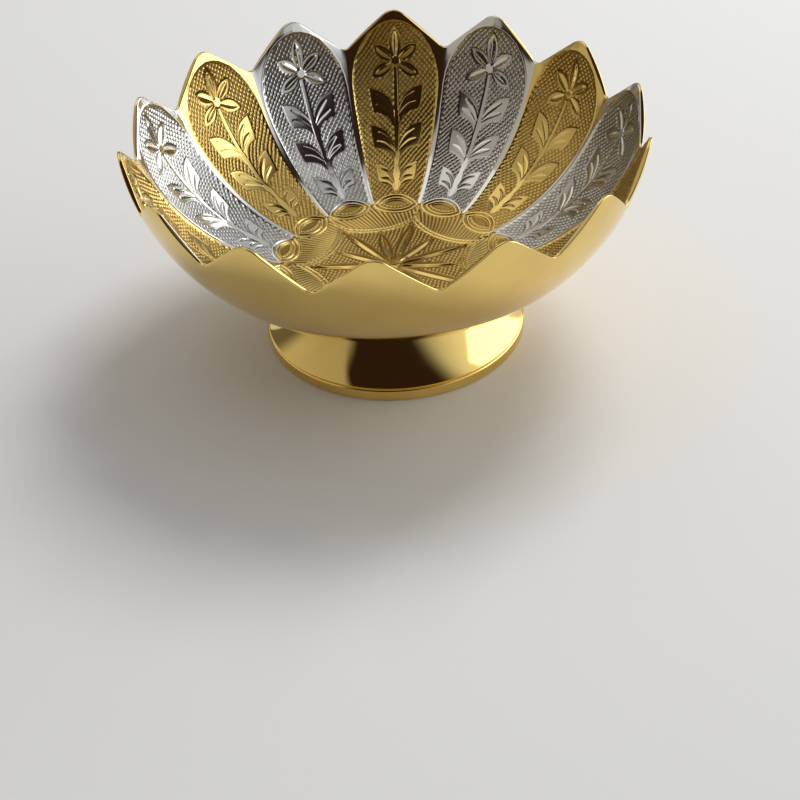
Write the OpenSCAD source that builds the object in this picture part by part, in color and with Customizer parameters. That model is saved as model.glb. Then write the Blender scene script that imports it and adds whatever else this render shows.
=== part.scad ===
// Offering bowl in the form of an open lotus: a petalled brass bowl on a flared foot ring.
// The origin is the centre of the foot's bottom face, +Z is up, and one petal tip points along +Y.

/* [Bowl] */
// Diameter across opposite petal tips
bowl_d = 114; // [96:1:150]
// Outside depth of the bowl, from its petal tips to its flat underside
bowl_depth = 38.4; // [32:0.2:46]
// Diameter of the flat part of the underside
floor_d = 31; // [24:0.5:38]
// Thickness of the bowl's wall
wall = 1.2; // [1:0.1:2]

/* [Petals] */
// Number of petals, an even number because gold and silver ones alternate
petals = 14; // [12:2:16]
// Depth of the valleys between two petal tips
valley_depth = 8.6; // [6:0.2:11]
// Radius of a petal's rounded tip
tip_round = 3.2; // [1.6:0.1:4]
// Radius at the bottom of a valley
valley_round = 1.8; // [1:0.1:2.6]

/* [Panels] */
// How far each petal's panel is sunk below the polished border
panel_sink = 0.3; // [0.2:0.02:0.4]
// Width of the polished strip between two neighbouring panels
strip_w = 1.3; // [0.8:0.1:2]
// Width of a panel where its arch springs
panel_w = 21.2; // [16:0.2:22]
// Height of a panel's arch
arch_h = 13; // [11.5:0.1:16]
// Distance down from a petal's tip to the top of its panel
border_h = 2.2; // [1.6:0.1:4]
// Radius from the bowl's axis at which the panels begin
panel_base_r = 28.2; // [27:0.2:32]

/* [Floor carving] */
// Radius of the ring of ovals, from the bowl's axis to an oval's middle
ovals_r = 25; // [22:0.2:27]
// Width of an oval across its middle
oval_w = 5.2; // [3:0.2:5.6]
// Radius from the axis to the cusps where two scallops meet
cusp_r = 20.6; // [19:0.2:22]
// Radius from the axis to the middle of a scallop
scallop_r = 16.2; // [14:0.2:17]
// Radius from the axis to the points of the long leaves
long_leaf_r = 19.4; // [16:0.2:19.6]
// Radius from the axis to the points of the short leaves
short_leaf_r = 14.6; // [12:0.2:15.2]
// Width of a leaf across its middle
leaf_w = 2.1; // [1.4:0.1:2.6]
// Width of a carved outline
line_w = 0.6; // [0.4:0.05:0.8]
// Depth of the carved outlines
line_sink = 0.25; // [0.15:0.01:0.35]

/* [Foot] */
// Height from the table to the bowl's underside
foot_h = 15; // [10:0.5:24]
// Diameter of the foot over its lip
foot_d = 60; // [54:1:76]
// Height of the upright lip round the bottom of the foot
lip_h = 2.8; // [1.8:0.1:4]
// Thickness of the lip, from its outer face inward
lip_w = 2.4; // [2:0.1:4]
// Radius on the lip's outer edges
lip_round = 0.5; // [0.2:0.05:0.8]
// Diameter of the neck, where the foot meets the bowl
neck_d = 44; // [36:1:50]
// Thickness of the foot's wall
foot_wall = 1.3; // [0.9:0.1:1.8]
// Radius of the hollow curve from neck to lip
flare_r = 33; // [18:1:70]

/* [Joint and plating] */
// Leg of the solder fillet inside the neck
solder_leg = 1.8; // [1:0.1:2.6]
// Thickness at which the silver layer on alternate petals is drawn
silver_t = 0.12; // [0.08:0.02:0.3]

/* [Hidden] */
$fn = 168;

// Overrun of a cut past the face it opens
over = 0.5;
// Steps in a drawn arc of the rim, of an arch and of the lip, and degrees in a step of the wall's turn
rim_steps = 5;
arch_steps = 5;
lip_steps = 4;
turn_step = 5;

tip_r = bowl_d / 2;
floor_r = floor_d / 2;
rim_z = foot_h + bowl_depth;
step = 360 / petals;

// The wall's section is one arc that leaves the flat underside at its edge and passes the petal tips
arc_r = (pow(tip_r - floor_r, 2) + pow(bowl_depth, 2)) / (2 * bowl_depth);
arc_centre = [floor_r, foot_h + arc_r];

// Turn of the wall at a radius of the inside, 0 at the floor and 90 upright
function turn_at(r) = asin((r - floor_r) / (arc_r - wall));
// Turn at which the wall, at a depth below its outer face, is just above the petal tips
function rim_turn(depth) = acos((arc_centre[1] - rim_z - over) / (arc_r - depth));
// Points on an arc about a centre, from one angle to another
function arc(centre, r, from, to, steps) =
    [for (i = [0:steps]) let (a = from + (to - from) * i / steps) centre + r * [cos(a), sin(a)]];
// Turns of the wall at which its section has a point, from one turn up to another
function turns(from, to) =
    concat([from], [for (i = [floor(from / turn_step) + 1:ceil(to / turn_step) - 1]) i * turn_step], [to]);
// Points along the wall at a depth below its outer face, from one turn up to another
function wall_line(depth, from, to) =
    [for (a = turns(from, to)) arc_centre + (arc_r - depth) * [sin(a), -cos(a)]];
// The same points in the other order
function backward(points) = [for (i = [len(points) - 1:-1:0]) points[i]];
// Height of the bowl's underside at a radius
function underside_z(r) = arc_centre[1] - sqrt(pow(arc_r, 2) - pow(r - floor_r, 2));

// The foot's neck under the bowl, the top of its lip, and the middle of the circle that hollows the flare
neck = [neck_d / 2, underside_z(neck_d / 2)];
lip = [foot_d / 2 - lip_round, lip_h];
chord = lip - neck;
flare_out = sqrt(pow(flare_r, 2) - pow(norm(chord) / 2, 2));
flare_centre = (neck + lip) / 2 + flare_out * [-chord[1], chord[0]] / norm(chord);

// Half of the wall's section between two depths below its outer face, from one turn up past the tips
module wall_band(outer_depth, inner_depth, from) {
    polygon(concat(
        wall_line(outer_depth, from, rim_turn(outer_depth)),
        backward(wall_line(inner_depth, from, rim_turn(inner_depth)))));
}

// Half of the bowl's section with its floor
module bowl_section() {
    wall_band(0, wall, 0);
    translate([0, foot_h]) square([floor_r, wall]);
}

// Places its child at the middle of each petal of one set, the even ones gold and the odd ones silver
module at_petals(first) {
    for (k = [first:2:petals - 1]) rotate(-k * step) children();
}

// Everything that is cut away between two neighbouring tips, drawn square to the valley's own radius
module valley_cut() {
    // Taken a wall's thickness outside the tips, so that neighbouring cuts overlap over each tip
    half_w = (tip_r + wall) * sin(step / 2);
    both = tip_round + valley_round;
    lean = atan2(valley_depth - both, half_w) + asin(both / norm([half_w, valley_depth - both]));
    top = 2 * over;
    outline = concat(
        [[-half_w, top]],
        arc([-half_w, -tip_round], tip_round, 90, 90 - lean, rim_steps),
        arc([0, valley_round - valley_depth], valley_round, 270 - lean, 270 + lean, rim_steps),
        arc([half_w, -tip_round], tip_round, 90 + lean, 90, rim_steps),
        [[half_w, top]]);
    translate([0, tip_r + 2 * wall, rim_z]) rotate([90, 0, 0])
        linear_extrude(height = tip_r - floor_r) polygon(outline);
}

// The space over one petal's panel, from above the polished face to a depth below it. The outline can
// grow all round, for a layer that lines the panel.
module panel_space(depth, above, grow) {
    arch_z = rim_z - border_h - arch_h;
    half_w = panel_w / 2 + grow;
    // Two arcs meet at the top of the arch, each with its centre beyond the middle
    rise = arch_h + grow;
    beyond = (pow(rise, 2) - pow(half_w, 2)) / (2 * half_w);
    arch_r = half_w + beyond;
    crown = atan2(rise, beyond);
    outline = concat(
        [[half_w, foot_h - arch_z]],
        arc([-beyond, 0], arch_r, 0, crown, arch_steps),
        arc([beyond, 0], arch_r, 180 - crown, 180, arch_steps),
        [[-half_w, foot_h - arch_z]]);
    // The panel's sides run parallel to the petal's edges and would meet a little way off the axis
    edge = (strip_w / 2 - grow) / sin(step / 2);
    side = 2 * tip_r * [sin(step / 2), cos(step / 2)];
    intersection() {
        rotate(90 - step / 2) rotate_extrude(angle = step)
            wall_band(wall - depth, wall + above, turn_at(panel_base_r - grow));
        translate([0, tip_r, arch_z]) rotate([90, 0, 0])
            linear_extrude(height = tip_r) polygon(outline);
        translate([0, edge, foot_h]) linear_extrude(height = bowl_depth)
            polygon([[0, 0], side, [-side[0], side[1]]]);
    }
}

// The silver layer's place on one petal, from valley to valley, lining its sunk panel
module silver_place(above) {
    rotate(90 - step / 2) rotate_extrude(angle = step)
        wall_band(wall - silver_t, wall + above, turn_at(panel_base_r - strip_w));
    panel_space(panel_sink + silver_t, above, silver_t);
}

// Pointed oval between two points of the Y axis, as two equal arcs
module pointed_oval(from, to, w) {
    half_l = (to - from) / 2;
    r = (pow(half_l, 2) + pow(w / 2, 2)) / w;
    translate([0, from + half_l]) intersection() {
        translate([r - w / 2, 0]) circle(r = r);
        translate([w / 2 - r, 0]) circle(r = r);
    }
}

// One leaf of the floor's rosette: two hollows either side of a raised midrib
module leaf_drawing(to) {
    difference() {
        pointed_oval(line_w, to, leaf_w);
        translate([-line_w / 2, 0]) square([line_w, to]);
    }
}

// One oval of the ring at the panels' feet, as its outline
module oval_drawing() {
    half_l = ovals_r * sin(step / 2) - line_w / 2;
    translate([0, ovals_r]) rotate(90) difference() {
        pointed_oval(-half_l, half_l, oval_w);
        pointed_oval(-half_l + 2 * line_w, half_l - 2 * line_w, oval_w - 2 * line_w);
    }
}

// One scallop, an arc over two petals that bows toward the middle
module scallop_drawing() {
    half_l = cusp_r * sin(step);
    sag = cusp_r * cos(step) - scallop_r;
    r = (pow(half_l, 2) + pow(sag, 2)) / (2 * sag);
    spread = asin(half_l / r);
    translate([0, scallop_r + r]) intersection() {
        difference() {
            circle(r = r + line_w / 2);
            circle(r = r - line_w / 2);
        }
        polygon([[0, 0], 2 * r * [-sin(spread), -cos(spread)], 2 * r * [sin(spread), -cos(spread)]]);
    }
}

// The carved lines of the floor, sunk to one depth along the curved inside
module floor_carving() {
    reach = turn_at(panel_base_r);
    intersection() {
        rotate_extrude() {
            polygon(concat(
                wall_line(wall - line_sink, 0, reach), backward(wall_line(wall + over, 0, reach))));
            translate([0, foot_h + wall - line_sink]) square([floor_r, line_sink + over]);
        }
        translate([0, 0, foot_h]) linear_extrude(height = bowl_depth) {
            for (k = [0:petals - 1]) rotate(k * step) oval_drawing();
            for (k = [0:2:petals - 1]) {
                rotate((k - 0.5) * step) leaf_drawing(long_leaf_r);
                rotate((k + 0.5) * step) leaf_drawing(short_leaf_r);
                rotate((k + 0.5) * step) scallop_drawing();
            }
        }
    }
}

module lotus_bowl() {
    color("#d8b04a") difference() {
        rotate_extrude() bowl_section();
        for (k = [0:petals - 1]) rotate((k + 0.5) * step) valley_cut();
        at_petals(0) panel_space(panel_sink, over, 0);
        at_petals(1) silver_place(over);
        floor_carving();
    }
}

module silver_plating() {
    color("#c9cbce") difference() {
        at_petals(1) silver_place(0);
        at_petals(1) panel_space(panel_sink, over, 0);
        for (k = [0:petals - 1]) rotate((k + 0.5) * step) valley_cut();
    }
}

// Half of the section of the space that the bowl fills
module bowl_body_section() {
    polygon(concat([[0, arc_centre[1]], [0, foot_h]], wall_line(0, 0, 90)));
}

// Half of the foot's section before the bowl is seated in it
module foot_section() {
    intersection() {
        translate(flare_centre) difference() {
            circle(r = flare_r + foot_wall);
            circle(r = flare_r);
        }
        translate([neck[0] / 2, lip_h - lip_round]) square([lip[0] - neck[0] / 2, foot_h]);
    }
    polygon(concat(
        [[lip[0] - lip_w, 0]],
        arc([lip[0], lip_round], lip_round, 270, 360, lip_steps),
        arc([lip[0], lip_h - lip_round], lip_round, 0, 90, lip_steps),
        [[lip[0] - lip_w, lip_h]]));
}

module foot_ring() {
    color("#dcb650") difference() {
        rotate_extrude() foot_section();
        rotate_extrude() bowl_body_section();
    }
}

// Half of the fillet's section, in the corner between the foot's inner wall and the bowl
module solder_section() {
    corner = neck - [foot_wall, 0];
    difference() {
        polygon(concat(
            arc(corner - [solder_leg, solder_leg], solder_leg, 0, 90, lip_steps),
            [corner + [-solder_leg, solder_leg], corner + [foot_wall / 2, solder_leg],
                corner + [foot_wall / 2, -solder_leg]]));
        bowl_body_section();
        foot_section();
    }
}

module solder_fillet() {
    color("#b9a06a") rotate_extrude() solder_section();
}

lotus_bowl();
silver_plating();
foot_ring();
solder_fillet();
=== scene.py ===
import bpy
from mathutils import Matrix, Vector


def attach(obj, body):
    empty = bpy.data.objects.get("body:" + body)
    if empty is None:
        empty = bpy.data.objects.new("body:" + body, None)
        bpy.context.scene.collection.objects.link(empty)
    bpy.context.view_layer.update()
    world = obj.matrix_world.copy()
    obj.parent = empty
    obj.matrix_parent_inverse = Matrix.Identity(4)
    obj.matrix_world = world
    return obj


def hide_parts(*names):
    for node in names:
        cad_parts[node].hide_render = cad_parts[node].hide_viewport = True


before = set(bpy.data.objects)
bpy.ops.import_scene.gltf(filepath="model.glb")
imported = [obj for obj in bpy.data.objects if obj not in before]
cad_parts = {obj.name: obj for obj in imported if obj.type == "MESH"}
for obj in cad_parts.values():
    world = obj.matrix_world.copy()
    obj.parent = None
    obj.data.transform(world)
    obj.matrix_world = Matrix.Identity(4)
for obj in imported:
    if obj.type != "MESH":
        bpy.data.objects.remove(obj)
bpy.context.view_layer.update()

import math
import bpy
import numpy as np

# The shell. Brass sheet 1.2 mm thick, raised to a round bowl and filed into fourteen petals at its
# rim, then gold plated and polished. Its outside, underside and cut edge are mirror bright.
mm = 0.001
petals = 14
step = 2 * np.pi / petals
wall = 1.2
# The floor is flat as far as floor_r, and the wall goes on from there as one arc
floor_r, floor_z = 15.5, 16.2
outer_arc, arc_z = 41.625, 56.625
inner_arc = outer_arc - wall
rim_z, tips_r = 53.4, 57
valley_depth, valley_round, tip_round = 8.6, 1.8, 4.6
half_petal = (tips_r + wall) * math.sin(step / 2)
edge_round = 0.3
border_fall = 0.45
# The carved pieces line the shell, so its own inner face is set back and ends below the rim
set_back, turn_short = 0.75, 0.02
shell_columns, outer_rows, inner_rows = 64, 60, 16


def round_point(angle, r, z):
    """A point at an angle clockwise from +Y, a distance from the axis and a height."""
    return np.stack([r * np.sin(angle), r * np.cos(angle), z + 0 * angle], -1)


def wall_point(angle, turn, arc):
    """A point on the wall. The turn is how far round its arc it is, from the flat floor up."""
    return round_point(angle, floor_r + arc * np.sin(turn), arc_z - arc * np.cos(turn))


def rim_line(x):
    """Height of the filed rim against the tips, x mm along the rim from the bottom of a valley."""
    both = tip_round + valley_round
    across = np.array([half_petal, valley_depth - both])
    lean = math.atan2(across[1], across[0]) + math.asin(both / np.linalg.norm(across))
    x = np.minimum(np.abs(x), half_petal)
    low_x, high_x = valley_round * math.sin(lean), half_petal - tip_round * math.sin(lean)
    low = valley_round - valley_depth - np.sqrt(np.maximum(valley_round**2 - x**2, 0))
    high = -tip_round + np.sqrt(np.maximum(tip_round**2 - (half_petal - x) ** 2, 0))
    low_z = valley_round - valley_depth - valley_round * math.cos(lean)
    high_z = -tip_round + tip_round * math.cos(lean)
    straight = low_z + (high_z - low_z) * (x - low_x) / (high_x - low_x)
    return np.where(x < low_x, low, np.where(x > high_x, high, straight))


def rim_turn(angle, arc):
    """Turn of the wall at which the filed rim cuts it, found by halving the span it lies in."""
    from_valley = (angle / step) % 1 * step - step / 2
    low, high = np.full(np.shape(angle), 0.8), np.full(np.shape(angle), 1.6)
    for _ in range(40):
        turn = (low + high) / 2
        r = floor_r + arc * np.sin(turn)
        under = arc_z - arc * np.cos(turn) < rim_z + rim_line(r * np.sin(from_valley))
        low, high = np.where(under, turn, low), np.where(under, high, turn)
    return (low + high) / 2


def rounded(a, corner, b, count=5):
    """Rows of points that round a corner, from the row a to the row b."""
    return [(1 - w) ** 2 * a + 2 * w * (1 - w) * corner + w**2 * b
            for w in np.linspace(0, 1, count)]


def rim_fall(angle):
    """How far back the polished border has sloped where it meets the rim: most at the tips and the
    valleys, where it is wide."""
    return border_fall * (0.64 + 0.36 * np.cos(4 * np.pi * angle / step))


def rim_rows(angle):
    """The rim's edge as rows: where the inner face ends, round its corner, and the outer corner."""
    face = inner_arc + rim_fall(angle)
    inside_turn, outside_turn = rim_turn(angle, face), rim_turn(angle, outer_arc)
    inside = wall_point(angle, inside_turn, face)
    outside = wall_point(angle, outside_turn, outer_arc)
    across = (outside - inside) / np.linalg.norm(outside - inside, axis=-1, keepdims=True)
    below = wall_point(angle, inside_turn - edge_round / face, face)
    inner_corner = rounded(below, inside, inside + edge_round * across)
    beside = wall_point(angle, outside_turn - edge_round / outer_arc, outer_arc)
    outer_corner = rounded(outside - edge_round * across, outside, beside)
    return inner_corner, outer_corner, outside_turn - edge_round / outer_arc


def grid_quads(rows, columns, first=0, closed=False):
    """Quads between rows of points, each row going once round the bowl if closed."""
    j, i = np.meshgrid(np.arange(rows - 1), np.arange(columns if closed else columns - 1),
                       indexing="ij")
    below, above = j * columns, (j + 1) * columns
    k = (i + 1) % columns
    return first + np.stack([below + i, below + k, above + k, above + i], -1).reshape(-1, 4)


def make_piece(name, points, quads, others, drawing, painted_shade=0, cut=0):
    """A mesh in millimetres made an object in metres. drawing is where each point is on the flat
    drawing of the piece. The two sets of values at the points that the metals read are painted
    shade, which darkens the colour in the cuts, and how rough the metal is where it is cut."""
    mesh = bpy.data.meshes.new(name)
    loops = np.concatenate([np.ravel(quads)] + [np.asarray(f) for f in others]).astype(np.int32)
    sizes = np.concatenate([np.full(len(quads), 4), [len(f) for f in others]]).astype(np.int32)
    starts = np.concatenate([[0], np.cumsum(sizes)[:-1]]).astype(np.int32)
    mesh.vertices.add(len(points))
    mesh.vertices.foreach_set("co", (points * mm).astype(np.float32).ravel())
    mesh.loops.add(len(loops))
    mesh.loops.foreach_set("vertex_index", loops)
    mesh.polygons.add(len(sizes))
    mesh.polygons.foreach_set("loop_start", starts)
    for key, values in (("painted_shade", painted_shade), ("cut", cut)):
        layer = mesh.attributes.new(key, "FLOAT", "POINT")
        layer.data.foreach_set("value", np.full(len(points), values, np.float32))
    flat = mesh.uv_layers.new(name="OFBake")
    flat.uv.foreach_set("vector", drawing.astype(np.float32)[loops].ravel())
    mesh.update(calc_edges=True)
    mesh.validate()
    mesh.polygons.foreach_set("use_smooth", np.ones(len(mesh.polygons), bool))
    mesh.set_sharp_from_angle(angle=math.radians(50))
    piece = bpy.data.objects.new(name, mesh)
    bpy.context.scene.collection.objects.link(piece)
    return piece


def round_drawing(angle, radius):
    """The flat drawing of a round piece, with its rows of points drawn as circles."""
    flat = np.stack([0.5 + radius * np.sin(angle), 0.5 + radius * np.cos(angle)], -1)
    return flat.reshape(-1, 2)


def put(tree, kind, links=None, **values):
    """Adds a node. links feed its inputs, from other nodes' sockets or with a plain value, and
    values are set on the node itself."""
    node = tree.nodes.new(kind)
    for key, value in values.items():
        setattr(node, key, value)
    for key, source in (links or {}).items():
        if isinstance(source, bpy.types.NodeSocket):
            tree.links.new(source, node.inputs[key])
        else:
            node.inputs[key].default_value = source
    return node


def reckon(tree, operation, *values):
    """The result of a Math node."""
    return put(tree, "ShaderNodeMath", dict(enumerate(values)), operation=operation).outputs[0]


def mix_colours(tree, factor, first, second):
    """A colour between two, by a factor."""
    mix = put(tree, "ShaderNodeMix", {"Factor": factor, 6: first, 7: second}, data_type="RGBA")
    return mix.outputs[2]


def polish_wear():
    """Hand polish on plated metal, as a node group: fine rubbing marks in two directions, faint
    finger haze, and the slow waves that raising and buffing leave in the sheet."""
    group = bpy.data.node_groups.new("polish_wear", "ShaderNodeTree")
    for label, usual in (("Mark Scale", 2600.0), ("Haze Scale", 55.0)):
        socket = group.interface.new_socket(label, in_out="INPUT", socket_type="NodeSocketFloat")
        socket.default_value = usual
    for label in ("Marks", "Haze", "Waves"):
        group.interface.new_socket(label, in_out="OUTPUT", socket_type="NodeSocketFloat")
    given, made = group.nodes.new("NodeGroupInput"), group.nodes.new("NodeGroupOutput")
    place = put(group, "ShaderNodeTexCoord").outputs["Object"]
    marks = []
    for turn in (0.5, -1.1):
        long_way = put(group, "ShaderNodeMapping", {
            "Vector": place, "Rotation": (0.4, 0.3, turn), "Scale": (1.0, 0.06, 0.35)})
        grain = put(group, "ShaderNodeTexNoise", {
            "Vector": long_way.outputs["Vector"], "Scale": given.outputs["Mark Scale"],
            "Detail": 3.0})
        marks.append(grain.outputs["Fac"])
    haze = put(group, "ShaderNodeTexNoise", {
        "Vector": place, "Scale": given.outputs["Haze Scale"], "Detail": 4.0, "Roughness": 0.6})
    soft = put(group, "ShaderNodeMapRange", {
        "Value": haze.outputs["Fac"], "From Min": 0.38, "From Max": 0.68})
    waves = put(group, "ShaderNodeTexNoise", {"Vector": place, "Scale": 95.0, "Detail": 1.0})
    group.links.new(waves.outputs["Fac"], made.inputs["Waves"])
    group.links.new(reckon(group, "ADD", *marks), made.inputs["Marks"])
    group.links.new(soft.outputs["Result"], made.inputs["Haze"])
    return group


def metal(name, bright, deep, smooth, rough, mark_depth=0.004, mark_scale=2600.0, wave=15.0,
          tarnish=0.06, haze_rough=0.07):
    """A plated metal: bright and smooth where it is polished, deep where it is tarnished and where
    shade is painted at the bottoms of its cuts, and rough where it is cut or hatched."""
    material = bpy.data.materials.new(name)
    material.use_nodes = True
    tree = material.node_tree
    tree.nodes.clear()
    wear = put(tree, "ShaderNodeGroup", {"Mark Scale": mark_scale}, node_tree=polish)
    haze = wear.outputs["Haze"]
    cut = put(tree, "ShaderNodeAttribute", attribute_name="cut").outputs["Fac"]
    painted_shade = put(tree, "ShaderNodeAttribute", attribute_name="painted_shade").outputs["Fac"]
    # Painted shade: the colour goes toward the deep one at the bottoms of the cuts, more in the
    # haze
    shade_in_cuts = reckon(tree, "MULTIPLY_ADD", painted_shade, haze, painted_shade)
    tarnish_and_shade = reckon(tree, "MULTIPLY_ADD", haze, tarnish, shade_in_cuts)
    hazed = reckon(tree, "MULTIPLY_ADD", haze, haze_rough, smooth)
    uneven = reckon(tree, "MULTIPLY_ADD", wear.outputs["Waves"], wave, wear.outputs["Marks"])
    sheen = put(tree, "ShaderNodeMix", {"Factor": cut, 2: hazed, 3: rough}, data_type="FLOAT")
    bump = put(tree, "ShaderNodeBump", {
        "Height": uneven, "Strength": 0.25, "Distance": mark_depth * mm})
    shader = put(tree, "ShaderNodeBsdfPrincipled", {
        "Base Color": mix_colours(tree, tarnish_and_shade, (*bright, 1), (*deep, 1)),
        "Roughness": sheen.outputs[0], "Normal": bump.outputs["Normal"], "Metallic": 1.0})
    put(tree, "ShaderNodeOutputMaterial", {"Surface": shader.outputs["BSDF"]})
    return material


polish = polish_wear()
mirror_gold = metal("polished_gold_plate", (0.90, 0.66, 0.22), (0.45, 0.27, 0.07), 0.045, 0.22,
                    wave=70.0, tarnish=0.2)

shell_turns = petals * shell_columns
shell_around = np.arange(shell_turns) / shell_turns * 2 * np.pi
inner_corner, outer_corner, last_turn = rim_rows(shell_around)
inner_turn = rim_turn(shell_around, inner_arc) - turn_short
shell_rows = [
    # Out over the flat underside, up the wall, over the rim and down inside to the floor
    *(round_point(shell_around, r, arc_z - outer_arc) for r in (0.4, 4, 8, 12)),
    *(wall_point(shell_around, last_turn * w, outer_arc) for w in np.linspace(0, 1, outer_rows)),
    *outer_corner[-2::-1],
    (outer_corner[0] + inner_corner[-1]) / 2,
    inner_corner[-1],
    *(wall_point(shell_around, inner_turn * w, inner_arc + set_back)
      for w in np.linspace(1, 0, inner_rows)),
    *(round_point(shell_around, r, floor_z - set_back) for r in (8, 0.4))]
shell_points = np.concatenate(shell_rows)
shell_quads = grid_quads(len(shell_rows), shell_turns, closed=True)
underside_middle = np.arange(shell_turns)
floor_middle = len(shell_points) - 1 - np.arange(shell_turns)
shell = make_piece("petalled_shell", shell_points, shell_quads[:, ::-1],
                   [underside_middle, floor_middle],
                   round_drawing(shell_around, np.linspace(0.02, 0.49, len(shell_rows))[:, None]))
shell.data.materials.append(mirror_gold)
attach(shell, "root")
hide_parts("lotus_bowl")

# The carved floor. The middle of the same sheet, inside: a rosette of fourteen pointed leaves,
# double-lined scallops round it and the ring of ovals that the petals stand on. All are cut with a
# graver into a ground roughened with strokes, and gold plated with the shell.
ground, stroke_rise, line_rise = -0.30, 0.24, 0.30
floor_hatch = ((0.9, 76), (1.0, 152))
floor_columns, floor_rows, floor_back_rows = 72, 92, 5
# Up the wall, where the floor's piece is parted from the ring of ovals
ring_from = 4.6
# How far the carved pieces' plain backs lie under the bowl's inner face
backing = 0.6
# A depth that stands for a point far outside a shape
far_out = -9.0
# An oval, and how far inside it each of its lines runs, with the line's half width
oval_s, oval_half_l, oval_half_w, oval_rise = 10.2, 5.62, 3.4, 0.28
outer_line, inner_line = (0.4, 0.36), (1.4, 0.3)
eye_s, eye_half_l, eye_half_w, eye_line = 10.4, 2.6, 0.8, (-0.28, 0.2)
core_pitch = 0.85
long_leaf_ends, short_leaf_ends, leaf_half_w = (1.2, 19.6), (1.6, 14.8), 1.32
floor_leaf_rib = ((0.05, 0, 0.03), (0.5, 0, 0.09), (1.0, 0, 0.115), (1.45, 0, 0.085),
                  (1.9, 0, 0.01))
scallop_ends_r, scallop_middle_r, scallop_gap, scallop_line = 20.6, 16.2, 0.5, 0.28
# Two lines run out from where two scallops meet, and close to a point
stem_from_r, stem_to_r, stem_taper, stem_apart, stem_line_w = 20.4, 25, 4.4, 0.45, 0.26
# Strokes to a petal's width outside the scallops, and how much they slant
outer_strokes, outer_slant = 10, 0.4
boss_r = 1.5


def inside_point(angle, s, height):
    """A point over the bowl's inner face, s mm up the wall from the edge of the flat floor."""
    turn = np.maximum(s, 0) / inner_arc
    r = np.where(s > 0, floor_r + (inner_arc - height) * np.sin(turn), floor_r + s)
    return round_point(angle, r, arc_z - (inner_arc - height) * np.cos(turn))


def radius_at(s):
    """Distance from the axis, s mm up the wall."""
    return np.where(s > 0, floor_r + inner_arc * np.sin(np.maximum(s, 0) / inner_arc), floor_r + s)


def lens_depth(along, across, half_l, half_w):
    """Distance inside a pointed oval about the origin, negative outside."""
    r = (half_l**2 + half_w**2) / (2 * half_w)
    return r - np.hypot(along, np.abs(across) + r - half_w)


def ridge(distance, half_width):
    """1 on a line, falling to 0 over its half width."""
    return np.exp(-(distance / half_width) ** 2)


def ramp(value, low, high):
    """0 below low, 1 above high, smooth between."""
    t = np.clip((value - low) / (high - low), 0, 1)
    return t * t * (3 - 2 * t)


def facet(value, low, high):
    """0 below low, 1 above high, in a straight line between."""
    return np.clip((value - low) / (high - low), 0, 1)


def saw_stroke(phase):
    """Height of a ground between V cuts, 0 in a cut and 1 halfway between two."""
    return 1 - np.abs(2 * (phase % 1) - 1)


def crossed_strokes(x, y, wander, hatch, light_cross=0.0):
    """Height of a ground cut with two crossing families of strokes, each with a pitch and a lean
    in degrees. The first is cut a little deeper, and the second lighter still by light_cross."""
    # The hand wanders a little from straight lines, and doesn't press evenly
    x = x + 0.12 * np.sin(0.83 * y + wander) + 0.04 * np.sin(2.3 * x + 1.7 * y + 2 * wander)
    y = y + 0.12 * np.sin(0.71 * x + 1.9 * wander)
    first, second = ((x * math.sin(math.radians(lean)) - y * math.cos(math.radians(lean))) / pitch
                     for pitch, lean in hatch)
    weight = 0.10 * np.sin(1.9 * x - 1.1 * y + wander) * np.sin(0.9 * y + 1.3 * x)
    least, gain = 0.2 + 0.45 * light_cross, 0.9 - 0.25 * light_cross
    crossing = least + gain * saw_stroke(second + 0.3) + weight
    return np.clip(np.minimum(1.05 * saw_stroke(first), crossing), 0, 1)


def rib_rise(x, y, knots):
    """How far inside a rib a point is, 1 on its ridge. Each knot has a place and a half width."""
    rise = np.full(x.shape, far_out)
    for (ax, ay, aw), (bx, by, bw) in zip(knots, knots[1:]):
        ex, ey = bx - ax, by - ay
        t = np.clip(((x - ax) * ex + (y - ay) * ey) / (ex * ex + ey * ey), 0, 1)
        off = np.hypot(x - ax - t * ex, y - ay - t * ey)
        rise = np.maximum(rise, 1 - off / (aw + t * (bw - aw)))
    return np.clip(rise, 0, 1)


def oval_relief(u, s):
    """Height of the ring of ovals, how far inside an oval a point is, and where its lines are. Two
    lines, one within the other, go round short strokes and a plain eye."""
    depth = lens_depth(u, s - oval_s, oval_half_l, oval_half_w)
    outer, inner = (ridge(depth - inside, half_w) for inside, half_w in (outer_line, inner_line))
    lines = np.clip(1.25 * np.maximum(outer, inner), 0, 1)
    eye = lens_depth(u, s - eye_s, eye_half_l, eye_half_w)
    strokes = 0.2 + 0.7 * saw_stroke(u / core_pitch + 0.25 * (s - oval_s))
    core = facet(depth, 1.85, 2.05) * strokes * facet(-eye, 0, 0.2)
    round_eye = ridge(eye - eye_line[0], eye_line[1])
    core = np.maximum(core, 0.9 * round_eye * facet(depth, 1.75, 2.0))
    return ground + oval_rise * np.maximum(lines, core), depth, lines


def with_ovals(height, smooth, u, s):
    """A relief's height and smoothness with the ring of ovals laid over them."""
    ovals, depth, lines = oval_relief(u, s)
    share = ramp(depth, -0.12, 0.05)
    return height * (1 - share) + ovals * share, smooth * (1 - share) + share * lines


def off_second(angle, first):
    """Angle from the nearest of seven even places. The first is at a share of two petals' width."""
    turns = angle / (2 * step) - first
    return 2 * step * (turns - np.round(turns))


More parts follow.
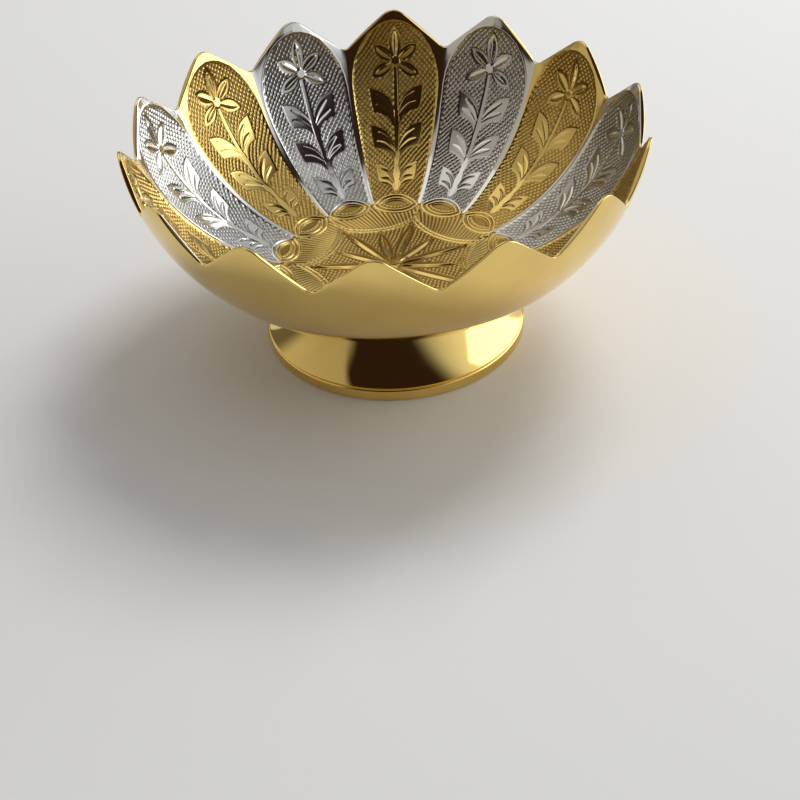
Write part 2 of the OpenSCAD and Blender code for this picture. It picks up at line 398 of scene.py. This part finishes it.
def rosette_relief(angle, r):
    """Height of the floor's carving, and how smooth it is."""
    leaf = np.round(angle / step - 0.5)
    from_leaf = angle - (leaf + 0.5) * step
    heel, tip = (np.where(leaf % 2 == 0, *ends) for ends in zip(long_leaf_ends, short_leaf_ends))
    along, across = r * np.cos(from_leaf), r * np.sin(from_leaf)
    half_l = (tip - heel) / 2
    leaf_depth = lens_depth(along - heel - half_l, across, half_l, leaf_half_w)
    rib = rib_rise((along - heel) / half_l, across / 8, floor_leaf_rib)
    leaf_top = -0.36 + 0.38 * np.minimum(rib * 1.15, 1)
    # The scallops' arcs, each bowed toward the middle past the tip of one short leaf
    from_short = off_second(angle, 0.75)
    x, y = r * np.sin(from_short), r * np.cos(from_short)
    half_span = scallop_ends_r * math.sin(step)
    sag = scallop_ends_r * math.cos(step) - scallop_middle_r
    bow = (half_span**2 + sag**2) / (2 * sag)
    off_arc = np.hypot(x, scallop_middle_r + bow - y) - bow
    lines = 1.2 * (ridge(off_arc - scallop_gap, scallop_line)
                   + ridge(off_arc + scallop_gap, scallop_line))
    apart = stem_apart * np.clip((stem_to_r - r) / stem_taper, 0, 1)
    stem = ridge(np.abs(np.abs(r * np.sin(off_second(angle, 0.25))) - apart), stem_line_w)
    lines = np.where(r > stem_from_r, np.maximum(lines * (off_arc > -1), stem), lines)
    lines = np.clip(lines, 0, 1)
    # Strokes run outward beyond the scallops, and cross inside them
    slanted = angle / step * outer_strokes + outer_slant * (r - 20)
    outward = np.minimum(1.35 * saw_stroke(slanted), 1)
    crossed = crossed_strokes(r * np.sin(angle), r * np.cos(angle), 0.8, floor_hatch)
    strokes = np.where(off_arc < 0, outward, crossed)
    low = ground + stroke_rise * strokes * facet(-leaf_depth, 0, 0.14) * (1 - lines)
    in_leaf = facet(leaf_depth, -0.1, 0.18)
    height = low * (1 - in_leaf) + leaf_top * in_leaf
    height = np.maximum(height, ground + line_rise * lines)
    boss = ramp(boss_r - r, 0, 0.4)
    height = height * (1 - boss) + boss * (-0.04 - 0.18 * (r / 1.3) ** 2)
    return height, np.clip(np.maximum(in_leaf * facet(rib, 0.0, 0.3), lines) + boss, 0, 1)


def painted_cut_shade(height, smooth):
    """Painted shade on the ground: the bottoms of its cuts are darkened, and polished places
    aren't.
    """
    return facet(-height, 0.12, 0.31) * (1 - smooth)


def backed_piece(name, kind, front, back, rows, columns, height, smooth, drawing):
    """A closed piece with a carved front and a plain back, both as rows of points. It is a round
    disc, an open ring or a petal, by its kind. Points past the carving's own are plain too."""
    closed = kind != "petal"
    back_rows = len(back) // columns
    first = len(front)
    points = np.concatenate([front, back])
    i = np.arange(columns if closed else columns - 1)
    k = (i + 1) % columns
    top, back_top = (rows - 1) * columns, first + (back_rows - 1) * columns
    quads = [grid_quads(rows, columns, closed=closed),
             grid_quads(back_rows, columns, first, closed)[:, ::-1],
             np.stack([top + i, top + k, back_top + k, back_top + i], -1)]
    others = []
    if kind == "disc":
        others = [np.arange(columns)[::-1], first + np.arange(columns)]
    else:
        quads.append(np.stack([k, i, first + i, first + k], -1))
    if kind == "petal":
        at = np.round(np.linspace(0, rows - 1, back_rows)).astype(int)
        for m in range(back_rows - 1):
            side = np.arange(at[m], at[m + 1] + 1) * columns
            ends = first + np.array([m + 1, m]) * columns
            others.append(np.concatenate([side, ends]))
            others.append(np.concatenate([side[::-1], ends[::-1]]) + columns - 1)
    plain = np.zeros(len(points) - len(height))
    # The first values paint shade at the bottoms of the cuts, and the second say how rough it is
    return make_piece(name, points, np.concatenate(quads), others, drawing,
                      np.concatenate([painted_cut_shade(height, smooth), plain]),
                      np.concatenate([1 - smooth, plain]))


def foot_line(angle):
    """How far up the wall the petals' panels begin, on the upper outline of the ring of ovals."""
    across = 2 * ((angle / step + 0.5) % 1 - 0.5)
    return oval_s + 1.95 * (1 - across**2)


gold = metal("gold_plate", (0.88, 0.65, 0.22), (0.36, 0.22, 0.055), 0.08, 0.28)
floor_turns = petals * floor_columns
floor_around = np.arange(floor_turns) / floor_turns * 2 * np.pi
share = np.linspace(0, 1, floor_rows)[:, None]
back_share = np.linspace(0, 1, floor_back_rows)[:, None]
floor_drawing = round_drawing(
    floor_around, np.concatenate([0.01 + 0.45 * share, 0.47 + 0.025 * back_share]))
for name, kind, first, last, back_short in (
        ("carved_floor", "disc", 0.4 - floor_r, np.full(floor_turns, ring_from), 0),
        ("oval_ring", "ring", ring_from, foot_line(floor_around), 0.3)):
    angle = np.tile(floor_around, floor_rows)
    s = (first + share * (last - first)).ravel()
    r = radius_at(s)
    u = r * step * ((angle / step + 0.5) % 1 - 0.5)
    height, smooth = with_ovals(*rosette_relief(angle, r), u, s)
    back_s = (first + back_share * (last - back_short - first)).ravel()
    back = inside_point(np.tile(floor_around, floor_back_rows), back_s, -backing)
    carving = backed_piece(name, kind, inside_point(angle, s, height), back, floor_rows,
                           floor_turns, height, smooth, floor_drawing)
    carving.data.materials.append(gold)
    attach(carving, "root")

# The petals, inside. Each has a polished border, sloping back to the rim, round a sunk panel with
# an arched top. A flower on a stem with three pairs of leaves is cut into the panel's cross-hatched
# ground. Every second petal is silver plated over the brass, and the rest are gold.
petal_columns, petal_rows, petal_back_rows = 160, 320, 14
petal_hatch = ((0.9, 52), (1.02, 134))
# Half of the panel's outline, from its top down to the ovals
panel_line = np.array([(0, 58.1), (2.2, 57.7), (4.0, 56.9), (6.5, 55.0), (8.6, 52.0), (9.9, 49.0),
                       (10.55, 46.0), (10.65, 43.0), (10.15, 38.0), (8.95, 30.0), (7.3, 20.0),
                       (5.85, 12.0), (5.3, 9.0)])
panel_slope = 0.62
cut_depth = -0.36
# How much the engraver's hand changes from one petal to the next
petal_wander = 0.9
# The flower's petals, each with a lean in degrees and a length, round a small six-sided middle
flower_s, flower_middle, flower_half_w = 47.9, 1.12, 1.55
flower_from = 0.7
flower_petals = ((0, 8.8), (52, 6.9), (-52, 6.9), (120, 6.8), (-120, 6.8))
flower_rib = ((0.12, 0, 0.05), (0.3, 0, 0.09), (0.5, 0, 0.118), (0.68, 0, 0.1), (0.8, 0, 0.03))
# Half widths of the stem at heights up the wall. It swells where a pair of leaves joins it.
stem_line = np.array([(13.9, 0.1), (15.0, 0.6), (17.0, 0.95), (19.2, 1.0), (21.5, 0.6),
                      (23.6, 0.75), (24.9, 1.0), (26.6, 0.62), (29.0, 0.5), (32.0, 0.68),
                      (34.2, 1.05), (36.0, 0.62), (39.0, 0.62), (43.0, 0.6), (46.8, 0.55)])
# A leaf of the top pair: its upper edge from the stem to the tip, its lower edge back down to the
# stem, and the middle lines and half widths of the two ribs that are left standing in it
leaf_upper = ((0.0, 34.6), (0.7, 36.8), (1.6, 38.8), (3.0, 40.5), (4.7, 41.5), (6.7, 42.1))
leaf_lower = ((6.7, 42.1), (6.5, 40.2), (6.15, 38.2), (5.85, 36.9), (5.4, 36.0))
leaf_heel = ((5.4, 36.0), (4.2, 35.7), (2.9, 35.2), (1.8, 34.4), (1.0, 33.1), (0.5, 31.4))
leaf_ribs = (((0.3, 34.9, 0.15), (1.2, 36.8, 0.46), (2.6, 38.6, 0.66), (4.5, 40.2, 0.25)),
             ((0.6, 34.8, 0.12), (1.9, 36.1, 0.4), (3.3, 37.1, 0.6), (4.8, 37.8, 0.3)))
# The lowest leaves are cut lightly, with three short drops in each
leaf_drops = (((0.6, 35.6, 0.12), (1.7, 37.9, 0.5), (3.0, 39.4, 0.45), (4.9, 40.3, 0.1)),
              ((1.2, 35.4, 0.1), (2.4, 36.7, 0.42), (3.6, 37.2, 0.38), (4.9, 37.4, 0.1)),
              ((1.4, 34.4, 0.1), (2.9, 35.3, 0.3), (4.8, 35.9, 0.1)))
# How each pair differs from the top one: width, length, height of the tip, and its cuts
leaf_tip_s = 41.8
leaf_pairs = ((1.0, 1.0, leaf_tip_s, leaf_ribs), (0.96, 0.98, 32.5, leaf_ribs),
              (0.76, 0.88, 22.4, leaf_drops))


def smooth_line(knots, steps=4):
    """Points along a smooth curve through some knots, with any values that they carry."""
    p = np.array([knots[0], *knots, knots[-1]], float)
    t = np.linspace(0, 1, steps, endpoint=False)[:, None]
    parts = []
    for a, b, c, d in zip(p, p[1:], p[2:], p[3:]):
        square, cube = 2 * a - 5 * b + 4 * c - d, 3 * b - a - 3 * c + d
        parts.append(0.5 * (2 * b + (c - a) * t + square * t**2 + cube * t**3))
    return np.concatenate([*parts, p[-1:]])


def shape_depth(x, y, outline):
    """Distance inside a closed outline, negative outside."""
    near, inside = np.full(x.shape, 1e9), np.zeros(x.shape, bool)
    for (ax, ay), (bx, by) in zip(outline, np.roll(outline, -1, 0)):
        ex, ey = bx - ax, by - ay
        length = ex * ex + ey * ey
        if length < 1e-12:
            continue
        t = np.clip(((x - ax) * ex + (y - ay) * ey) / length, 0, 1)
        near = np.minimum(near, (x - ax - t * ex) ** 2 + (y - ay - t * ey) ** 2)
        if ey:
            inside ^= ((ay > y) != (by > y)) & (x < ax + ex * (y - ay) / ey)
    return np.where(inside, 1, -1) * np.sqrt(near)


def leaf_relief(u, s, cuts):
    """Height of a leaf of the top pair, how far inside it a point is, and how rough it is, which
    also sets painted shade in its low places. It is sunk with a sharp edge and ribs stand in it, or
    it is shallow and drops are cut in it."""
    outline = np.concatenate([
        smooth_line(leaf_upper), smooth_line(leaf_lower)[1:], smooth_line(leaf_heel)[1:]])
    depth, rise = np.full(u.shape, far_out), np.zeros(u.shape)
    near = (u > -0.6) & (u < 7.8) & (s > 30.5) & (s < 43)
    depth[near] = shape_depth(u[near], s[near], outline)
    for knots in cuts:
        rise[near] = np.maximum(rise[near], rib_rise(u[near], s[near], smooth_line(knots, 3)))
    if cuts is leaf_drops:
        return -0.19 - 0.22 * np.minimum(rise * 1.4, 1), depth, 0.55 + 0 * rise
    # The cut is shallow at the stem and deepest at the outer edge
    heel = facet(np.hypot(u, s - 34.4), 5.5, 1.0)
    height = cut_depth * (1 - 0.25 * heel) + 0.12 * (1 - (1 - rise) ** 2)
    return height, depth, 0.3 * (1 - facet(rise, 0, 0.3))


def petal_relief(u, s, rim_s, fall, wander):
    """Height of a petal's inner face, and how smooth it is. rim_s is how far up the rim is, and
    fall is how far back the border slopes to it."""
    panel = shape_depth(u, s, np.concatenate([panel_line, panel_line[:0:-1] * (-1, 1)]))
    # No two are cut quite alike
    x, y = u - 0.25 * math.sin(1.7 * wander + 0.4), s - 0.3 * math.sin(2.3 * wander + 1.2)
    motif_height, motif_depth = np.full(u.shape, far_out), np.full(u.shape, far_out)
    # How rough each form is. Less smooth also means more painted shade in its low places
    motif_rough_and_shade = np.zeros(u.shape)

    def add(height, depth, rough):
        """Lays a form over the motif where a point is further inside it than inside the others."""
        inside = depth > motif_depth
        motif_height[inside] = height[inside]
        motif_depth[inside] = depth[inside]
        motif_rough_and_shade[inside] = rough[inside]

    half = np.interp(y, stem_line[:, 0], stem_line[:, 1])
    stem = np.minimum(half - np.abs(x), np.minimum(y - stem_line[0, 0], stem_line[-1, 0] - y))
    # The graver leans, so the right side of the stem's groove is a broad bright facet
    lean_face = 0.25 * facet(x, half - 0.3, half) * facet(y, 34.8, 36.2)
    add(cut_depth * (1 - 0.5 * facet(y, 25.5, 22)) + lean_face, stem, 0.25 + 0 * x)
    for wide, long, tip, cuts in leaf_pairs:
        for side in (1, -1):
            leaf_y = leaf_tip_s + (y - tip - 0.3 * side) / long
            add(*leaf_relief(x * side / wide, leaf_y, cuts))
    for lean, length in flower_petals:
        a = math.radians(lean)
        along = x * math.sin(a) + (y - flower_s) * math.cos(a)
        across = x * math.cos(a) - (y - flower_s) * math.sin(a)
        half_l = (length - flower_from) / 2
        depth = lens_depth(along - flower_from - half_l, across, half_l, flower_half_w)
        rib = rib_rise(along / length, across / 7, flower_rib)
        add(cut_depth + 0.26 * np.minimum(rib * 1.2, 1), depth, 0.35 * (1 - facet(rib, 0, 0.3)))
    across = [np.abs(x * math.cos(a) + (y - flower_s) * math.sin(a))
              for a in np.radians((0, 60, 120))]
    middle_share = facet(flower_middle - np.max(across, 0), -0.1, 0.12)
    # On some petals the second family of strokes is lighter
    light_cross = 0.45 * max(0, math.cos(wander - 5.0))
    strokes = crossed_strokes(u, s, wander, petal_hatch, light_cross)
    ground_height = ground + stroke_rise * strokes * facet(-motif_depth, -0.02, 0.14)
    in_panel = facet(panel, 0.0, panel_slope)
    # The border slopes back from the panel's edge to the rim
    beside = np.maximum(-0.15 - panel, 0)
    border = -fall * beside / np.maximum(beside + np.maximum(rim_s - s, 0), 1e-6)
    height = in_panel * ground_height + (1 - in_panel) * border + 0.05 * ridge(panel + 0.1, 0.2)
    on_motif = facet(motif_depth, -0.1, 0.2) * in_panel
    height = height * (1 - on_motif) + motif_height * on_motif
    height = height * (1 - middle_share) - 0.06 * middle_share
    smooth = np.clip(1 - in_panel + on_motif * (1 - motif_rough_and_shade) + middle_share, 0, 1)
    return with_ovals(height, smooth, u, s)


def petal_edge(s, gilt):
    """Half the angle of a petal at a height up the wall. Low down the silver runs out to the gold
    panel's edge, and above the panels' widest place the two meet on the line of the valley."""
    strip = 0.5 * (1 - ramp(s, 36, 46))
    gold_half = step / 2 - strip / radius_at(s)
    return gold_half if gilt else step - gold_half


def flat_rows(across, up):
    """A flat drawing of rows of points."""
    return np.stack(np.broadcast_arrays(across, up), -1).reshape(-1, 2)


silver = metal("silver_plate", (0.82, 0.81, 0.79), (0.33, 0.32, 0.30), 0.08, 0.28)
share = np.linspace(0, 1, petal_rows)[:, None]
back_share = np.linspace(0, 1, petal_back_rows)[:, None]
v = np.linspace(-1, 1, petal_columns + 1)[None]
for k in range(petals):
    gilt = k % 2 == 0
    middle = k * step
    # How wide a petal is depends on the height, and how high it reaches on the place across it, so
    # the two are brought into step
    s = 10 + 50 * share + 0 * v
    for _ in range(4):
        own = v * petal_edge(s, gilt)
        low = foot_line(own)
        high = inner_arc * rim_turn(own, inner_arc + rim_fall(own)) - edge_round
        s = low + (high - low) * share
    height, smooth = petal_relief((radius_at(s) * own).ravel(), s.ravel(), high.ravel(),
                                  rim_fall(own).ravel(), petal_wander * k)
    rim_corner = rim_rows(own[-1] + middle)[0][1:]
    front = inside_point((own + middle).ravel(), s.ravel(), height)
    rows = petal_rows + len(rim_corner)
    # The back is a little smaller than the front, inside the metal
    back_s = (low[0] + 0.2) + (high[-1] - 0.9 - low[0]) * back_share
    back_own = v * petal_edge(back_s, gilt) * 0.997
    back = inside_point((back_own + middle).ravel(), back_s.ravel(), -backing)
    across = (v + 1) / 2
    drawing = np.concatenate([
        flat_rows(0.02 + 0.96 * across, np.linspace(0.06, 0.995, rows)[:, None]),
        flat_rows(0.004 + 0.992 * across, 0.004 + 0.04 * back_share)])
    petal = backed_piece(f"{'gold' if gilt else 'silver'}_petal_{k + 1:02d}", "petal",
                         np.concatenate([front, *rim_corner]), back, rows, petal_columns + 1,
                         height, smooth, drawing)
    petal.data.materials.append(gold if gilt else silver)
    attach(petal, "root")
    if not gilt:
        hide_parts("silver_plating")

# The foot. A ring spun from brass sheet, flared to a thick upright lip that it stands on, gold
# plated and buffed to a mirror. It is brazed to the bowl round its neck.
lip_r, lip_h, lip_round, lip_inside = 30.0, 2.8, 0.5, 27.1
flare_centre, flare_arc, foot_wall = (53.45, 25.50), 33.0, 1.3
# The neck runs a little way up into the shell's sheet, outside and inside
neck_z, inner_neck_z = 15.5, 15.25
foot_columns = 360


def bend(centre, r, start, end, count):
    """Points of an arc in the foot's section, angles in degrees."""
    a = np.radians(np.linspace(start, end, count))
    return np.stack([centre[0] + r * np.cos(a), centre[1] + r * np.sin(a)], -1)


def flare(r, top, foot, count):
    """Points down the foot's hollow flare, from one height to another."""
    z = np.linspace(top, foot, count)
    return np.stack([flare_centre[0] - np.sqrt(r**2 - (flare_centre[1] - z) ** 2), z], -1)


profile = np.concatenate([
    flare(flare_arc, neck_z, lip_h + 0.15, 40),
    bend((lip_r - lip_round, lip_h - lip_round), lip_round, 90, 0, 7),
    bend((lip_r - lip_round, lip_round), lip_round, 0, -90, 7),
    bend((lip_inside + lip_round, lip_round), lip_round, -90, -180, 5),
    [[lip_inside, lip_h - 0.7], [lip_inside + 0.3, lip_h - 0.1]],
    flare(flare_arc + foot_wall, inner_neck_z, lip_h + 0.3, 30)[::-1]])
foot_around = np.arange(foot_columns) / foot_columns * 2 * np.pi
foot_circles = round_point(foot_around, profile[:, :1], profile[:, 1:])
foot_points = np.concatenate([foot_circles.reshape(-1, 3), foot_circles[0]])
foot_quads = grid_quads(len(profile) + 1, foot_columns, closed=True)
foot = make_piece("foot_ring_buffed", foot_points, foot_quads, [],
                  round_drawing(foot_around, np.linspace(0.06, 0.49, len(profile) + 1)[:, None]))
foot.data.materials.append(mirror_gold)
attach(foot, "root")
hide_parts("foot_ring")

# The brazing. A fillet of filler metal run round inside the neck, where the foot meets the bowl.
# It was plated with the rest but never polished, so it stays dull and grainy.
brazing = metal("brazing", (0.62, 0.45, 0.18), (0.22, 0.14, 0.06), 0.38, 0.45, mark_depth=0.03,
                mark_scale=900.0)
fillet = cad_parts["solder_fillet"]
fillet.data.materials.clear()
fillet.data.materials.append(brazing)

# The table. A plain pale sheet that the bowl stands on, matt and wide enough to fill the view from
# the camera. It belongs to the stage and not to the bowl.
table_r = 2.5
table_edge = [(table_r * math.cos(a), table_r * math.sin(a), 0)
              for a in np.linspace(0, 2 * np.pi, 96)[:-1]]
sheet = bpy.data.meshes.new("table")
sheet.from_pydata(table_edge, [], [list(range(len(table_edge)))])
table = bpy.data.objects.new("table", sheet)
bpy.context.scene.collection.objects.link(table)
pale = bpy.data.materials.new("pale_table")
pale.use_nodes = True
pale.node_tree.nodes.clear()
matt = put(pale.node_tree, "ShaderNodeBsdfPrincipled", {
    "Base Color": (0.86, 0.85, 0.84, 1), "Roughness": 0.8, "Specular IOR Level": 0.2})
put(pale.node_tree, "ShaderNodeOutputMaterial", {"Surface": matt.outputs["BSDF"]})
table.data.materials.append(pale)

# The light. A pale room with a large soft window on the right, a lamp overhead, and a high lamp
# for the shadow. The room that the metal mirrors is brighter on the right and toward the back,
# darker low down at the back, and has one dim side behind the camera.
warm_wall, cool_wall = (1.0, 0.93, 0.80, 1), (0.96, 0.98, 1.0, 1)
dim_wall = (0.060, 0.034, 0.028, 1)
room_fill = 0.30
world = bpy.data.worlds.new("room")
bpy.context.scene.world = world
world.use_nodes = True
room = world.node_tree
room.nodes.clear()
way = put(room, "ShaderNodeTexCoord").outputs["Generated"]


def toward(direction, low, high, at_low, at_high):
    """A value over the room that changes with how near a direction is to one of its sides."""
    nearness = put(room, "ShaderNodeVectorMath", {0: way, 1: direction}, operation="DOT_PRODUCT")
    return put(room, "ShaderNodeMapRange", {
        "Value": nearness.outputs["Value"], "From Min": low, "From Max": high, "To Min": at_low,
        "To Max": at_high}, interpolation_type="SMOOTHSTEP").outputs["Result"]


# The dim side doesn't reach far left or right, and stays on the camera's side of the room
dim_left = toward((1.0, 0.0, 0.0), -0.76, -0.56, 0.0, 1.0)
dim_right = toward((0.9, 0.0, -0.45), 0.12, 0.42, 1.0, 0.0)
dim_front = toward((0.6, -0.8, 0.0), 0.03, 0.14, 0.0, 1.0)
dim = reckon(room, "MULTIPLY", reckon(room, "MULTIPLY", dim_left, dim_right), dim_front)
side = toward((1.0, 0.1, 0.0), 0.4, 0.9, 0.50, 1.15)
low_down = toward((0.3, -0.75, 1.0), -0.50, -0.15, 0.25, 1.0)
behind = toward((0.0, 1.0, 0.0), -0.7, 0.7, 0.82, 1.14)
strength = reckon(room, "MULTIPLY", reckon(room, "MULTIPLY", side, low_down), behind)
# Daylight on the window's side is a little cooler than what the far walls send back
air = mix_colours(room, toward((1.0, 0.0, 0.0), -0.35, 0.6, 0.0, 1.0), warm_wall, cool_wall)
mirrored = put(room, "ShaderNodeBackground", {
    "Color": mix_colours(room, dim, air, dim_wall), "Strength": strength})
# The camera sees plain white past the table, and the fill lights whatever isn't a mirror
paths = put(room, "ShaderNodeLightPath").outputs
seen = reckon(room, "MAXIMUM", paths["Is Camera Ray"], paths["Is Transmission Ray"])
plain = put(room, "ShaderNodeBackground", {
    "Color": (1, 1, 1, 1), "Strength": reckon(room, "MAXIMUM", seen, room_fill)})
both = put(room, "ShaderNodeMixShader", {
    "Fac": paths["Is Glossy Ray"], 1: plain.outputs["Background"],
    2: mirrored.outputs["Background"]})
put(room, "ShaderNodeOutputWorld", {"Surface": both.outputs["Shader"]})


def window(name, place, aim, size, power):
    """A large soft lamp, facing a point."""
    lamp = bpy.data.lights.new(name, "AREA")
    lamp.shape, lamp.size, lamp.size_y, lamp.energy = "RECTANGLE", size[0], size[1], power
    held = bpy.data.objects.new(name, lamp)
    held.location = place
    held.rotation_euler = (Vector(aim) - held.location).to_track_quat("-Z", "Y").to_euler()
    bpy.context.scene.collection.objects.link(held)
    return held


daylight = window("right_window", (1.0, 0.36, 0.37), (0, 0, 0.04), (1.5, 0.7), 5.6)
daylight.data.color = (0.93, 0.98, 1.0)
window("overhead", (-0.3, 0.45, 1.05), (0, 0, 0.03), (0.8, 0.9), 0.9)
# The lamp that casts the bowl's shadow toward the camera. The metal doesn't mirror it.
high = window("high_lamp", (0.38, 0.55, 0.98), (0, 0, 0.03), (0.5, 0.5), 6.8)
high.visible_glossy = False

# The camera, where the photograph was taken from. It is aimed by a turn to the side, a pitch down
# and a small roll, in degrees.
yaw, pitch, roll = (math.radians(a) for a in (3.674, 37.603, -3.269))
camera_x, camera_y, camera_z = 18.66 * mm, -292.04 * mm, 202.51 * mm
back = Vector((
    math.sin(yaw) * math.cos(pitch), -math.cos(yaw) * math.cos(pitch), math.sin(pitch)))
right = Vector((math.cos(yaw), math.sin(yaw), 0))
up = back.cross(right)
tilted = right * math.cos(roll) + up * math.sin(roll)
raised = up * math.cos(roll) - right * math.sin(roll)
lens = bpy.data.cameras.new("camera")
lens.lens, lens.sensor_width = 67.97, 36
lens.clip_start, lens.clip_end = 0.01, 20
camera = bpy.data.objects.new("camera", lens)
camera.matrix_world = Matrix((
    (tilted.x, raised.x, back.x, camera_x),
    (tilted.y, raised.y, back.y, camera_y),
    (tilted.z, raised.z, back.z, camera_z),
    (0, 0, 0, 1)))
bpy.context.scene.collection.objects.link(camera)
bpy.context.scene.camera = camera
bpy.context.scene.view_settings.view_transform = "Standard"
